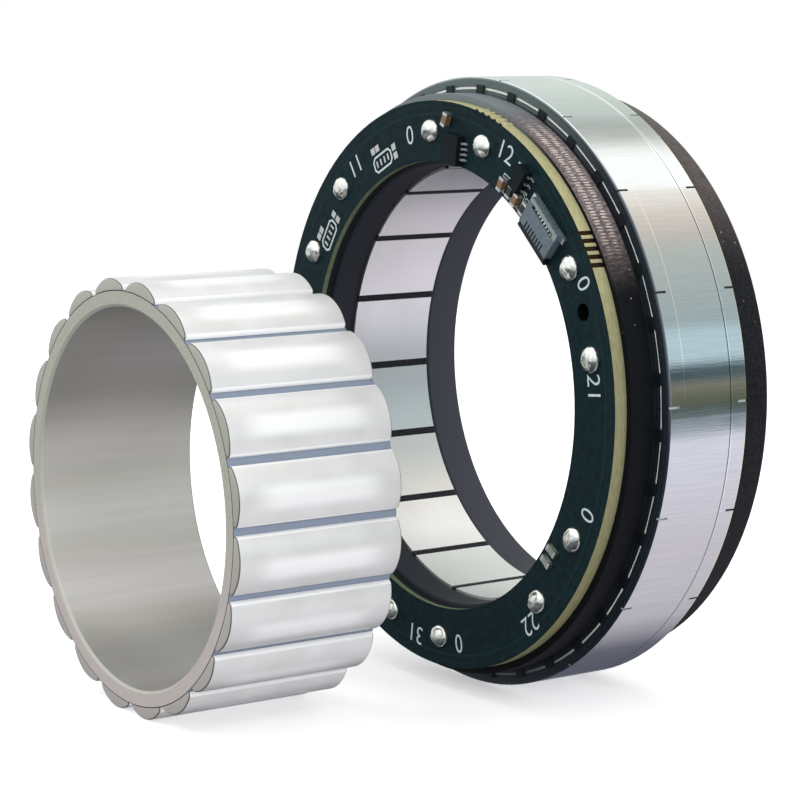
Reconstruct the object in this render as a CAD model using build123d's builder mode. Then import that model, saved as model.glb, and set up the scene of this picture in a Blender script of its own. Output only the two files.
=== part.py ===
"""Frameless servo motor kit: a toothed stator ring with its sensor board, and the loose magnet rotor.

Both rings stand on their rims on one floor, the rotor in front of the stator, as they are laid out before
they are fitted. Millimetres, +Z up, the motor axis along Y, the board side towards -Y. The origin is on the
stator's axis, halfway along its steel stack.
"""
import os
from math import cos, degrees, radians, sin, sqrt, tan

from build123d import *

# Steel stack: ground outside, eighteen teeth inside
STACK_DIAMETER = 70.0
STACK_LENGTH = 10.9
STACK_CHAMFER = 0.25
YOKE_THICKNESS = 3.2
SLOT_DEPTH = 6.1
TOOTH_SHOE = 0.8
SHOE_SLOPE = 0.55
TEETH = 18
TOOTH_WIDTH = 4.0
SLOT_MOUTH = 0.85
FIRST_SLOT = 8.0
KEY_NOTCH_WIDTH = 0.25
KEY_NOTCH_DEPTH = 0.25
KEY_NOTCH_LENGTH = 1.4

# Plastic insulators that sleeve the teeth from both ends
LINER = 0.3
LINER_GAP = 0.1
FLANGE = 0.6
RIM_STEP = 0.4
REAR_RIM_STEP = 0.8
RIM_THICKNESS = 0.15
RIM_WINDOWS = 36
WINDOW_FROM_WALL = 0.25
WINDOW_RADIAL = 0.45
LUG_WIDTH = 1.3
LUG_RADIAL = 0.95
LUG_HEIGHT = 0.4

# Coils, one on each tooth
COIL_END_THICKNESS = 2.4
COIL_GAP = 0.4
COIL_INNER_GAP = 0.3
COIL_OUTER_GAP = 0.3
COIL_CORNER = 1.3

# Potting rings over the end turns
POTTING_STEP = 1.8
POTTING_LEDGE = 0.3
FRONT_POTTING = 3.55
REAR_POTTING = 4.65
REAR_POTTING_ROUND = 0.5
WEDGE_RECESS = 0.1
WEDGE_SIDE_GAP = 0.02

# Sensor board, its coil joints and what is left of the two tabs that held it in its panel
BOARD_STEP = 0.8
BOARD_LEDGE = 0.4
BOARD_THICKNESS = 1.6
COIL_GROUPS = 6
LEAD_DIAMETER = 0.9
LEAD_CLEARANCE = 0.05
SOLDER_DIAMETER = 2.5
SOLDER_HEIGHT = 0.9
SOLDER_FOOT_SLOPE = 0.3
SOLDER_CROWN_RISE = 0.4
SOLDER_TIP_DIAMETER = 0.7
PEG_HOLE_DIAMETER = 1.9
TAB_MARKS = 5
NOTCHED_TAB_CLOCK = 57.2
NOTCH_DIAMETER = 0.56
NOTCH_PITCH = 0.96
LUMPY_TAB_CLOCK = 18.0
LUMP_DIAMETER = 0.7
LUMP_PITCH = 1.13

# Ribbon connector on the board
CONNECTOR_TO_JOINT = 0.93
CONNECTOR_INSET = 0.75
CONNECTOR_TURN = -4.3
CONNECTOR_LENGTH = 5.9
CONNECTOR_DEPTH = 3.4
CONNECTOR_HEIGHT = 1.0
CONTACTS = 8
CONTACT_PITCH = 0.5
CONTACT_WIDTH = 0.2
CONTACT_HEIGHT = 0.25
CONTACT_CLEARANCE = 0.02
COMB_DEPTH = 0.9
RIBBON_SLOT_WIDTH = 0.5
RIBBON_SLOT_DEPTH = 0.8
RIBBON_SLOT_LENGTH = 4.5
CONNECTOR_BAR = 0.45
LEVER_DEPTH = 1.0
LEVER_HEIGHT = 0.85
LEVER_NOSE = 0.3
HOLD_WIDTH = 0.6
HOLD_DEPTH = 0.75
HOLD_HEIGHT = 0.35

# Packaged chips: body along the pin rows and across them, height over the board, pins a side
SENSOR_CHIP = dict(row=3.4, across=3.0, height=1.0, pins=4, pitch=0.6)
LOGIC_CHIP = dict(row=2.9, across=1.6, height=1.05, pins=3, pitch=0.95)
SENSOR_INSET = 0.05
LOGIC_TO_CONNECTOR = 1.12
LOGIC_TO_ROW = 0.15
LOGIC_TURN = 4.0
PIN_WIDTH = 0.26
PIN_THICKNESS = 0.15
PIN_SHOULDER = 0.22
PIN_FOOT = 0.5
PIN_SLOPE = 0.12
CHIP_STANDOFF = 0.1

# Two-ended chip parts: a row beside the connector, a capacitor by the sensor chip, two thermistors
CHIP_LENGTH = 1.6
CHIP_WIDTH = 0.8
CHIP_END = 0.32
CAPACITOR_HEIGHT = 0.75
RESISTOR_HEIGHT = 0.5
ROW_TO_CONNECTOR = 0.37
ROW_PITCH = 1.5
ROW_INSET = 0.6
FILTER_TO_SENSOR = 0.6
FILTER_ASIDE = 1.8
FILTER_TURN = 20.0
THERMISTOR_TO_JOINT = 1.51
THERMISTOR_PITCH = 1.65
THERMISTOR_INSET = 0.65

# Rotor: steel ring with twenty bread-loaf magnets
AIR_GAP = 0.5
POLES = 20
ROTOR_WALL = 1.8
ROTOR_LENGTH = 20.2
ROTOR_CHAMFER = 0.3
GLUE = 0.05
MAGNET_HEIGHT = 1.35
MAGNET_EDGE = 0.45
MAGNET_GAP = 0.8
MAGNET_CORNER = 0.25
ROTOR_AHEAD = 15.0
ROTOR_ASIDE = -8.9

# Worked out from the sizes above
stack_radius = STACK_DIAMETER / 2
half_stack = STACK_LENGTH / 2
slot_floor = stack_radius - YOKE_THICKNESS
shoe_radius = slot_floor - SLOT_DEPTH
bore_radius = shoe_radius - TOOTH_SHOE
tooth_pitch = 360 / TEETH
half_pitch = radians(tooth_pitch / 2)
first_tooth = FIRST_SLOT + tooth_pitch / 2
potting_radius = stack_radius - POTTING_STEP
potting_bore = bore_radius + POTTING_LEDGE
board_radius = potting_radius - BOARD_STEP
board_bore = potting_bore + BOARD_LEDGE
joint_radius = (board_radius + board_bore) / 2
coil_end = half_stack + FLANGE + COIL_END_THICKNESS
board_back = half_stack + FRONT_POTTING
board_front = board_back + BOARD_THICKNESS
crown_radius = bore_radius - AIR_GAP
magnet_seat = crown_radius - MAGNET_HEIGHT
ring_radius = magnet_seat - GLUE
ring_bore = ring_radius - ROTOR_WALL


def across(height):
    """Plane square to the motor axis, facing the board side, this far ahead of the stack's middle."""
    return Plane.XZ.offset(height)


def clock(angle, radius, turn=0.0):
    """Place on such a plane, by its angle clockwise from the top; its own y points outwards."""
    turned = radians(angle)
    return Location((radius * sin(turned), radius * cos(turned), 0), (0, 0, -angle - turn))


def ring_of(count, radius, first):
    """Evenly spaced places round the motor axis."""
    return [clock(first + index * 360 / count, radius) for index in range(count)]


def onward(angle, distance, radius):
    """Clock angle reached from another by going this far along a circle."""
    return angle + degrees(distance / radius)


def seat(place, height=board_front):
    """Plane of a part that sits on the board, at its clock angle, radius and turn."""
    return Plane(across(height).location * clock(*place))


def save(part, name):
    """Label a finished piece and write it."""
    part.label = name
    export_step(part, f"parts/{name}.step")


os.makedirs("parts", exist_ok=True)


# Slot section, drawn on the slot's own centre line
def tooth_wall(reach):
    """Point of the tooth's flank, this far out along the tooth's centre line, seen from the slot's."""
    half = TOOTH_WIDTH / 2
    return (reach * sin(half_pitch) - half * cos(half_pitch),
            reach * cos(half_pitch) + half * sin(half_pitch))


flank_start = tooth_wall(shoe_radius + SHOE_SLOPE)
floor_reach = (slot_floor - TOOTH_WIDTH / 2 * sin(half_pitch)) / cos(half_pitch)
flank_end = tooth_wall(floor_reach)

with BuildSketch() as slot_section:
    with BuildLine():
        Polyline((0, shoe_radius), (SLOT_MOUTH / 2, shoe_radius), flank_start, flank_end, (0, slot_floor))
        mirror(about=Plane.YZ)
    make_face()

with BuildSketch() as lined_slot:
    add(slot_section.sketch)
    offset(amount=-LINER, kind=Kind.INTERSECTION, mode=Mode.REPLACE)

slot_places = ring_of(TEETH, 0, FIRST_SLOT)

# Laminated stack
with BuildPart() as stator_core:
    with BuildSketch(across(-half_stack)):
        Circle(stack_radius)
        Circle(bore_radius, mode=Mode.SUBTRACT)
    extrude(amount=STACK_LENGTH)
    rings = stator_core.edges().filter_by(GeomType.CIRCLE)
    chamfer(rings.filter_by(lambda edge: edge.radius > shoe_radius), STACK_CHAMFER)
    with BuildSketch(across(-half_stack)):
        with Locations(*slot_places):
            add(slot_section.sketch)
        with Locations(*ring_of(TEETH, bore_radius, FIRST_SLOT)):
            Rectangle(SLOT_MOUTH, 2 * TOOTH_SHOE)
    extrude(amount=STACK_LENGTH, mode=Mode.SUBTRACT)
    for end in (1, -1):
        with BuildSketch(across(end * half_stack)):
            with Locations(*ring_of(TEETH, stack_radius, FIRST_SLOT)):
                Rectangle(KEY_NOTCH_WIDTH, 2 * KEY_NOTCH_DEPTH)
        extrude(amount=-end * KEY_NOTCH_LENGTH, mode=Mode.SUBTRACT)
save(stator_core.part, "stator_core")


def insulator(end, rim_step):
    """End insulator: a spoked flange on the stack's face, liners in the slots and a thin outer rim."""
    face = end * half_stack
    with BuildPart() as piece:
        with BuildSketch(across(face)):
            Circle(potting_radius)
            Circle(potting_bore, mode=Mode.SUBTRACT)
            with Locations(*slot_places):
                add(lined_slot.sketch, mode=Mode.SUBTRACT)
        extrude(amount=end * FLANGE)
        with BuildSketch(across(face)):
            with Locations(*slot_places):
                add(slot_section.sketch)
                add(lined_slot.sketch, mode=Mode.SUBTRACT)
        extrude(amount=-end * (half_stack - LINER_GAP / 2))
        with BuildSketch(across(face)):
            Circle(stack_radius - rim_step)
            Circle(potting_radius, mode=Mode.SUBTRACT)
        extrude(amount=end * RIM_THICKNESS)
    return piece.part


# Front insulator: its rim is pierced by a ring of windows with a lug between each two
window_radius = potting_radius + WINDOW_FROM_WALL + WINDOW_RADIAL / 2
window_length = 2 * window_radius * tan(radians(180 / RIM_WINDOWS)) - LUG_WIDTH
with BuildPart() as front_insulator:
    add(insulator(1, RIM_STEP))
    with BuildSketch(across(half_stack)):
        with Locations(*ring_of(RIM_WINDOWS, window_radius, FIRST_SLOT)):
            Rectangle(window_length, WINDOW_RADIAL)
    extrude(amount=RIM_THICKNESS, mode=Mode.SUBTRACT)
    with BuildSketch(across(half_stack)):
        with Locations(*ring_of(RIM_WINDOWS, potting_radius, FIRST_SLOT + 180 / RIM_WINDOWS)):
            Rectangle(LUG_WIDTH, 2 * LUG_RADIAL)
        Circle(potting_radius, mode=Mode.SUBTRACT)
    extrude(amount=LUG_HEIGHT)
save(front_insulator.part, "front_insulator")

rear_insulator = insulator(-1, REAR_RIM_STEP)
save(rear_insulator, "rear_insulator")

# Coils: a flat loop round each lined tooth, tapered to share the slot with its neighbour
sleeve_half = TOOTH_WIDTH / 2 + LINER
coil_foot = flank_start[1] + LINER + COIL_INNER_GAP
coil_top = (slot_floor - LINER - COIL_OUTER_GAP) * cos(half_pitch)
share_foot = coil_foot * tan(half_pitch) - COIL_GAP / 2 / cos(half_pitch)
share_top = coil_top * tan(half_pitch) - COIL_GAP / 2 / cos(half_pitch)


def coil(index):
    """Coil of one tooth: its loop is drawn looking down the tooth, then trimmed to its share of the slot."""
    tooth = Plane(Plane.XZ.location * clock(first_tooth + index * tooth_pitch, 0))
    looking_down = Plane(tooth.location * Location((0, coil_foot, 0), (-90, 0, 0)))
    with BuildPart() as loop:
        with BuildSketch(looking_down):
            outline = Rectangle(2 * share_top, 2 * coil_end)
            chamfer(outline.vertices(), COIL_CORNER)
            Rectangle(2 * sleeve_half, 2 * (half_stack + FLANGE), mode=Mode.SUBTRACT)
        extrude(amount=coil_top - coil_foot)
        with BuildSketch(tooth.offset(-coil_end)):
            Polygon((-share_foot, coil_foot), (share_foot, coil_foot), (share_top, coil_top),
                    (-share_top, coil_top), align=None)
        extrude(amount=2 * coil_end, mode=Mode.INTERSECT)
    return loop.part


coils = [coil(index) for index in range(TEETH)]
for index, winding in enumerate(coils, start=1):
    save(winding, f"coil_{index:02d}")

# Wedges that close the slot mouths
wedge_width = SLOT_MOUTH - 2 * WEDGE_SIDE_GAP
with BuildPart() as slot_wedges:
    with BuildSketch(across(-half_stack)):
        with Locations(*ring_of(TEETH, shoe_radius, FIRST_SLOT)):
            Rectangle(wedge_width, TOOTH_SHOE - WEDGE_RECESS, align=(Align.CENTER, Align.MAX))
    extrude(amount=STACK_LENGTH)
save(slot_wedges.part, "slot_wedges")

# Coil leads: bundles of seven wires; both ends of each group of three coils come up beside each other
group_pitch = 360 / COIL_GROUPS
lead_clocks = [first_tooth - tooth_pitch + group * group_pitch + side * tooth_pitch
               for group in range(COIL_GROUPS) for side in (0, 1)]
lead_places = [clock(angle, joint_radius) for angle in lead_clocks]
lead_hole = LEAD_DIAMETER / 2 + LEAD_CLEARANCE

with BuildPart() as coil_leads:
    with BuildSketch(across(coil_end)):
        with Locations(*lead_places):
            RegularPolygon(LEAD_DIAMETER / 2, 6)
    extrude(amount=board_front - coil_end)
save(coil_leads.part, "coil_leads")


def potting_ring(end, depth):
    """Potting over one end's coils, cast round their end turns."""
    with BuildPart() as ring:
        with BuildSketch(across(end * (half_stack + FLANGE))):
            Circle(potting_radius)
            Circle(potting_bore, mode=Mode.SUBTRACT)
        extrude(amount=end * (depth - FLANGE))
        for winding in coils:
            add(winding, mode=Mode.SUBTRACT)
    return ring.part


with BuildPart() as front_potting:
    add(potting_ring(1, FRONT_POTTING))
    add(coil_leads.part, mode=Mode.SUBTRACT)
save(front_potting.part, "front_potting")

with BuildPart() as rear_potting:
    add(potting_ring(-1, REAR_POTTING))
    back_edges = rear_potting.edges().filter_by(GeomType.CIRCLE).group_by(Axis.Y)[-1]
    fillet(back_edges.sort_by(SortBy.RADIUS)[-1], REAR_POTTING_ROUND)
save(rear_potting.part, "rear_potting")

# Sensor board, with a locating hole between two joints and the stubs of its panel tabs
peg_clock = (lead_clocks[2] + lead_clocks[3]) / 2
marks = [index - (TAB_MARKS - 1) / 2 for index in range(TAB_MARKS)]
notch_places = [clock(onward(NOTCHED_TAB_CLOCK, mark * NOTCH_PITCH, board_radius), board_radius)
                for mark in marks]
lump_radius = board_radius - LUMP_DIAMETER / 4
lump_places = [clock(onward(LUMPY_TAB_CLOCK, mark * LUMP_PITCH, lump_radius), lump_radius) for mark in marks]

with BuildPart() as sensor_board:
    with BuildSketch(across(board_back)):
        Circle(board_radius)
        with Locations(*lump_places):
            Circle(LUMP_DIAMETER / 2)
        Circle(board_bore, mode=Mode.SUBTRACT)
        with Locations(*lead_places):
            Circle(lead_hole, mode=Mode.SUBTRACT)
        with Locations(clock(peg_clock, joint_radius)):
            Circle(PEG_HOLE_DIAMETER / 2, mode=Mode.SUBTRACT)
        with Locations(*notch_places):
            Circle(NOTCH_DIAMETER / 2, mode=Mode.SUBTRACT)
    extrude(amount=BOARD_THICKNESS)
save(sensor_board.part, "sensor_board")

# Solder drawn up round the leads: a steep foot, a flatter crown and a small flat tip
solder_radius = SOLDER_DIAMETER / 2
with BuildPart() as solder_joint:
    with BuildSketch(Plane.XZ):
        with BuildLine():
            Polyline((0, 0), (solder_radius, 0),
                     (solder_radius - SOLDER_FOOT_SLOPE, SOLDER_HEIGHT - SOLDER_CROWN_RISE),
                     (SOLDER_TIP_DIAMETER / 2, SOLDER_HEIGHT), (0, SOLDER_HEIGHT), close=True)
        make_face()
    revolve(axis=Axis.Z)

with BuildPart(across(board_front)) as solder_joints:
    with Locations(*lead_places):
        add(solder_joint.part)
save(solder_joints.part, "solder_joints")


# Places on the board: each is worked out from its neighbour, as (clock angle, radius, turn)
connector_radius = board_bore + CONNECTOR_INSET + CONNECTOR_DEPTH / 2
joint_to_connector = SOLDER_DIAMETER / 2 + CONNECTOR_TO_JOINT + HOLD_WIDTH + CONNECTOR_LENGTH / 2
connector_clock = onward(lead_clocks[2], -joint_to_connector, connector_radius)

row_radius = board_bore + ROW_INSET + CHIP_LENGTH / 2
row_start = CONNECTOR_LENGTH / 2 + ROW_TO_CONNECTOR + CHIP_WIDTH / 2
row_seats = [(onward(connector_clock, -row_start - index * ROW_PITCH, row_radius), row_radius, 0)
             for index in range(4)]

logic_radius = row_radius + CHIP_LENGTH / 2 + LOGIC_TO_ROW + LOGIC_CHIP["row"] / 2
logic_reach = LOGIC_CHIP["across"] / 2 + PIN_SHOULDER + PIN_SLOPE + PIN_FOOT
logic_back = CONNECTOR_LENGTH / 2 + HOLD_WIDTH + LOGIC_TO_CONNECTOR + logic_reach
logic_seat = (onward(connector_clock, -logic_back, logic_radius), logic_radius, LOGIC_TURN)

sensor_radius = board_bore + SENSOR_INSET + SENSOR_CHIP["row"] / 2
filter_radius = sensor_radius + SENSOR_CHIP["row"] / 2 + FILTER_TO_SENSOR + CHIP_LENGTH / 2
filter_seat = (onward(FIRST_SLOT, -FILTER_ASIDE, filter_radius), filter_radius, FILTER_TURN)

thermistor_radius = board_bore + THERMISTOR_INSET + CHIP_LENGTH / 2
thermistor_start = SOLDER_DIAMETER / 2 + THERMISTOR_TO_JOINT + CHIP_WIDTH / 2
thermistor_seats = [(onward(lead_clocks[4], thermistor_start + index * THERMISTOR_PITCH, thermistor_radius),
                     thermistor_radius, 0) for index in range(2)]


# Chips with rows of bent pins
def chip_body(chip, place):
    """Moulded body of a chip, just clear of the board."""
    with BuildPart() as body:
        with BuildSketch(seat(place, board_front + CHIP_STANDOFF)):
            Rectangle(chip["across"], chip["row"])
        extrude(amount=chip["height"] - CHIP_STANDOFF)
    return body.part


def chip_pins(chip, place):
    """Gull-wing pins along both sides of a chip, each bent down to its pad."""
    base = seat(place)
    wall = chip["across"] / 2
    level = chip["height"] / 2
    bend = wall + PIN_SHOULDER
    foot = bend + PIN_SLOPE
    toe = foot + PIN_FOOT
    thick = PIN_THICKNESS
    rows = [(index - (chip["pins"] - 1) / 2) * chip["pitch"] for index in range(chip["pins"])]
    with BuildPart() as pins:
        with BuildSketch(*[Plane(base.location * Location((0, row, 0), (90, 0, 0))) for row in rows]):
            with BuildLine():
                Polyline((wall, level), (bend, level), (foot, thick), (toe, thick), (toe, 0),
                         (foot - thick, 0), (bend - thick, level - thick), (wall, level - thick), close=True)
            make_face()
            mirror(about=Plane.YZ)
        extrude(amount=PIN_WIDTH / 2, both=True)
    return pins.part


sensor_seat = (FIRST_SLOT, sensor_radius, 0)
save(chip_body(SENSOR_CHIP, sensor_seat), "sensor_chip")
save(chip_pins(SENSOR_CHIP, sensor_seat), "sensor_chip_pins")
save(chip_body(LOGIC_CHIP, logic_seat), "logic_chip")
save(chip_pins(LOGIC_CHIP, logic_seat), "logic_chip_pins")


# Two-ended chip parts
def chip_bodies(seats, height):
    """Ceramic bodies of the chip parts at these seats."""
    with BuildPart() as bodies:
        with BuildSketch(*[seat(place) for place in seats]):
            Rectangle(CHIP_WIDTH, CHIP_LENGTH - 2 * CHIP_END)
        extrude(amount=height)
    return bodies.part


def chip_ends(seats, height):
    """Tinned end caps of the chip parts at these seats."""
    with BuildPart() as ends:
        with BuildSketch(*[seat(place) for place in seats]):
            with Locations((0, (CHIP_LENGTH - CHIP_END) / 2), (0, (CHIP_END - CHIP_LENGTH) / 2)):
                Rectangle(CHIP_WIDTH, CHIP_END)
        extrude(amount=height)
    return ends.part


resistor_seats = row_seats[0::2]
capacitor_seats = [filter_seat] + row_seats[1::2]
save(chip_bodies(capacitor_seats, CAPACITOR_HEIGHT), "chip_capacitors")
save(chip_bodies(resistor_seats, RESISTOR_HEIGHT), "chip_resistors")
save(chip_bodies(thermistor_seats, RESISTOR_HEIGHT), "thermistors")
with BuildPart() as end_caps:
    add(chip_ends(capacitor_seats, CAPACITOR_HEIGHT))
    add(chip_ends(resistor_seats + thermistor_seats, RESISTOR_HEIGHT))
save(end_caps.part, "chip_end_caps")

# Ribbon connector: housing, sprung contacts, locking lever and hold-downs
connector_base = seat((connector_clock, connector_radius, CONNECTOR_TURN))
connector_top = connector_base.offset(CONNECTOR_HEIGHT)
contact_rows = [((index - (CONTACTS - 1) / 2) * CONTACT_PITCH, 0) for index in range(CONTACTS)]
channel_width = CONTACT_WIDTH + 2 * CONTACT_CLEARANCE
ribbon_slot_out = CONNECTOR_DEPTH / 2 - CONNECTOR_BAR

with BuildPart() as connector_housing:
    with BuildSketch(connector_base):
        Rectangle(CONNECTOR_LENGTH, CONNECTOR_DEPTH)
    extrude(amount=CONNECTOR_HEIGHT)
    with BuildSketch(connector_base):
        with Locations(*contact_rows):
            Rectangle(channel_width, CONNECTOR_DEPTH)
    extrude(amount=CONTACT_HEIGHT + CONTACT_CLEARANCE, mode=Mode.SUBTRACT)
    with BuildSketch(connector_top):
        with Locations(*[(row[0], -CONNECTOR_DEPTH / 2) for row in contact_rows]):
            Rectangle(channel_width, COMB_DEPTH, align=(Align.CENTER, Align.MIN))
    extrude(amount=-CONNECTOR_HEIGHT, mode=Mode.SUBTRACT)
    with BuildSketch(connector_top):
        with Locations((0, ribbon_slot_out)):
            Rectangle(RIBBON_SLOT_LENGTH, RIBBON_SLOT_WIDTH, align=(Align.CENTER, Align.MAX))
    extrude(amount=-RIBBON_SLOT_DEPTH, mode=Mode.SUBTRACT)
save(connector_housing.part, "connector_housing")

with BuildPart() as connector_contacts:
    with BuildSketch(connector_base):
        with Locations(*contact_rows):
            Rectangle(CONTACT_WIDTH, CONNECTOR_DEPTH)
    extrude(amount=CONTACT_HEIGHT)
save(connector_contacts.part, "connector_contacts")

hinge_line = -CONNECTOR_DEPTH / 2 - CONTACT_CLEARANCE
lever_tip = hinge_line - LEVER_DEPTH
with BuildPart() as connector_lever:
    with BuildSketch(Plane(connector_base.origin, x_dir=connector_base.y_dir, z_dir=connector_base.x_dir)):
        Polygon((hinge_line, 0), (hinge_line, LEVER_HEIGHT), (lever_tip + LEVER_NOSE, LEVER_HEIGHT),
                (lever_tip, LEVER_HEIGHT - LEVER_NOSE), (lever_tip, 0), align=None)
    extrude(amount=CONNECTOR_LENGTH / 2, both=True)
save(connector_lever.part, "connector_lever")

hold_out = (CONNECTOR_DEPTH - HOLD_DEPTH) / 2
hold_aside = (CONNECTOR_LENGTH + HOLD_WIDTH) / 2
with BuildPart() as hold_downs:
    with BuildSketch(connector_base):
        with Locations((hold_aside, hold_out), (-hold_aside, hold_out)):
            Rectangle(HOLD_WIDTH, HOLD_DEPTH)
    extrude(amount=HOLD_HEIGHT)
save(hold_downs.part, "connector_hold_downs")

# Rotor: its ring stands on the two lowest magnets, on the same floor as the stator
first_magnet = 180 / POLES
magnet_half = ring_radius * sin(radians(first_magnet)) - MAGNET_GAP / 2
base_height = sqrt(magnet_seat ** 2 - magnet_half ** 2)
edge_height = base_height + MAGNET_EDGE
crown_rise = crown_radius - edge_height
crown_curve = (magnet_half ** 2 + crown_rise ** 2) / (2 * crown_rise)
rotor_sag = (crown_radius - crown_curve) * cos(radians(first_magnet)) + crown_curve
rotor_back = board_front + ROTOR_AHEAD
rotor_height = rotor_sag - stack_radius


def on_rotor(height):
    """Plane square to the rotor's own axis."""
    return Plane(across(height).location * Location((ROTOR_ASIDE, rotor_height, 0)))


with BuildPart() as rotor_ring:
    with BuildSketch(on_rotor(rotor_back)):
        Circle(ring_radius)
        Circle(ring_bore, mode=Mode.SUBTRACT)
    extrude(amount=ROTOR_LENGTH)
    rings = rotor_ring.edges().filter_by(GeomType.CIRCLE)
    chamfer(rings.filter_by(lambda edge: edge.radius < ring_radius), ROTOR_CHAMFER)
save(rotor_ring.part, "rotor_ring")


def magnet(index):
    """Bread-loaf magnet: it fits the ring underneath and has a crown of smaller radius."""
    half = magnet_half
    place = clock(first_magnet + index * 360 / POLES, 0)
    with BuildPart() as loaf:
        with BuildSketch(Plane(on_rotor(rotor_back).location * place)):
            with BuildLine():
                ThreePointArc((-half, base_height), (0, magnet_seat), (half, base_height))
                Line((half, base_height), (half, edge_height))
                ThreePointArc((half, edge_height), (0, crown_radius), (-half, edge_height))
                Line((-half, edge_height), (-half, base_height))
            outline = make_face()
            fillet(outline.vertices().group_by(Axis.Y)[-1], MAGNET_CORNER)
        extrude(amount=ROTOR_LENGTH)
    return loaf.part


for index in range(POLES):
    save(magnet(index), f"magnet_{index + 1:02d}")
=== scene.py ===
"""Looks of the frameless motor: a wound stator ring with its sensor board, and the magnet ring before it.

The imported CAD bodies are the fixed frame. This file gives them their finishes and adds the fine detail.
Shapes are made in millimetres and scaled once, when they become pieces. The axes are the frame's own: the
stator's axis is Y, its board faces -Y, and +Z is up. A place on a ring is a clock angle, in degrees
clockwise from the top as seen from the board's side, and a radius in millimetres.
"""

from __future__ import annotations

import logging
import math
import random
from dataclasses import dataclass, field
from enum import Enum
from typing import Iterable, Sequence, Union

import bmesh
import bpy
from mathutils import Matrix, Vector, noise

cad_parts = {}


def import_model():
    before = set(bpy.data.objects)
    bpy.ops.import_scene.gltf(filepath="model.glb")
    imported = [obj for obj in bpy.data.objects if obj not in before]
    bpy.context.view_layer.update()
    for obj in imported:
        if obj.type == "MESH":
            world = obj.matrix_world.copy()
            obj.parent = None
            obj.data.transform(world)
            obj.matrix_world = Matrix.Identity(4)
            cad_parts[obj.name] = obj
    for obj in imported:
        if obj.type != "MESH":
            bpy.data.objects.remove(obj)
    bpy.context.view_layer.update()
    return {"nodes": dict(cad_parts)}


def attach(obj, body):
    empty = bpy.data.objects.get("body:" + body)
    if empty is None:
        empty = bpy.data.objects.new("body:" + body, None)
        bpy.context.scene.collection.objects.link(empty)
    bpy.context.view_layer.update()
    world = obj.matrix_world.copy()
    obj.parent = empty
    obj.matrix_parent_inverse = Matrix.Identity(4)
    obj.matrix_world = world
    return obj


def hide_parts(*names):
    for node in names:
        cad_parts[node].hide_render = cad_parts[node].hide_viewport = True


log = logging.getLogger("frameless_motor")

MM = 0.001
FLOOR_HEIGHT = -35.0
ROTOR_AXIS = Vector((-8.9, 0.0, -10.837))
ROTOR_MIDDLE = -35.7
FIRST_MAGNET = 9.0
MAGNET_PITCH = 18.0
BOARD_FACE = -10.6
# How near two places count as one, and how deep print and pads reach into the board, in millimetres.
NEAR = 0.01
SUNK = 0.01

Tint = tuple[float, float, float, float]
Feed = Union[float, bool, Sequence[float], bpy.types.Node, bpy.types.NodeSocket]
Paint = Union[str, bpy.types.Node, bpy.types.NodeSocket]


# Shader tools


def linear(code: str) -> Tint:
    """Turn an sRGB hex code into the linear colour that Blender's sockets take.

    Args:
        code: six hex digits, with or without a leading hash.

    Returns:
        Red, green, blue and an alpha of one.
    """
    code = code.lstrip("#")
    channels = [int(code[i:i + 2], 16) / 255 for i in (0, 2, 4)]
    red, green, blue = [c / 12.92 if c <= 0.04045 else ((c + 0.055) / 1.055) ** 2.4 for c in channels]
    return red, green, blue, 1.0


def add_node(tree: bpy.types.NodeTree, kind: str, feeds: dict[Union[int, str], Feed] | None = None,
             stops: Sequence[tuple[float, str]] = (), **settings: object) -> bpy.types.Node:
    """Add one node to a tree, with its settings, its ramp and what feeds its inputs.

    Args:
        tree: the material's or world's node tree.
        kind: the node's type name.
        feeds: for an input's name or number, a value, a socket, or a node whose first output is meant.
        stops: for a colour ramp, positions with their hex codes, in rising order.
        settings: the node's own properties.

    Returns:
        The new node.
    """
    node = tree.nodes.new(kind)
    for name, value in settings.items():
        setattr(node, name, value)
    for key, value in (feeds or {}).items():
        source = value.outputs[0] if isinstance(value, bpy.types.Node) else value
        if isinstance(source, bpy.types.NodeSocket):
            tree.links.new(source, node.inputs[key])
        else:
            node.inputs[key].default_value = source
    if stops:
        elements = node.color_ramp.elements
        while len(elements) < len(stops):
            elements.new(0.5)
        for element, (position, code) in zip(elements, stops):
            element.position = position
            element.color = linear(code)
    return node


@dataclass(frozen=True)
class Finish:
    """What every finish states: a name, the record's slot, and the constants of its shader."""

    name: str
    slot: str
    base: str
    metallic: float = 0.0
    roughness: float = 0.5
    gloss_level: float = 0.5
    coat: float = 0.0
    glow: float = 0.0

    def material(self) -> bpy.types.Material:
        """Build the shader with the finish's constants and let the finish add its pattern.

        Returns:
            The new material.
        """
        material = bpy.data.materials.new(self.name)
        material.use_nodes = True
        tree = material.node_tree
        tree.nodes.clear()
        shader = add_node(tree, "ShaderNodeBsdfPrincipled", {
            "Base Color": linear(self.base), "Metallic": self.metallic, "Roughness": self.roughness,
            "Specular IOR Level": self.gloss_level, "Coat Weight": self.coat, "Coat Roughness": 0.1,
            "Emission Color": linear(self.base), "Emission Strength": self.glow})
        add_node(tree, "ShaderNodeOutputMaterial", {"Surface": shader})
        place = add_node(tree, "ShaderNodeTexCoord").outputs["Object"]
        for socket, source in self.pattern(tree, place).items():
            tree.links.new(source.outputs[0] if isinstance(source, bpy.types.Node) else source,
                           shader.inputs[socket])
        return material

    def pattern(self, tree: bpy.types.NodeTree, place: bpy.types.NodeSocket) -> dict[str, Feed]:
        """Give what varies over the surface: shader sockets by name with what feeds them."""
        raise NotImplementedError

    def clouded(self, tree: bpy.types.NodeTree, cloud: bpy.types.Node, spread: float) -> bpy.types.Node:
        """Let the roughness wander with a cloud of noise, by up to a spread each way."""
        return add_node(tree, "ShaderNodeMapRange", {
            "Value": cloud, "From Min": 0.3, "From Max": 0.7,
            "To Min": self.roughness - spread, "To Max": self.roughness + spread})


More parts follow.
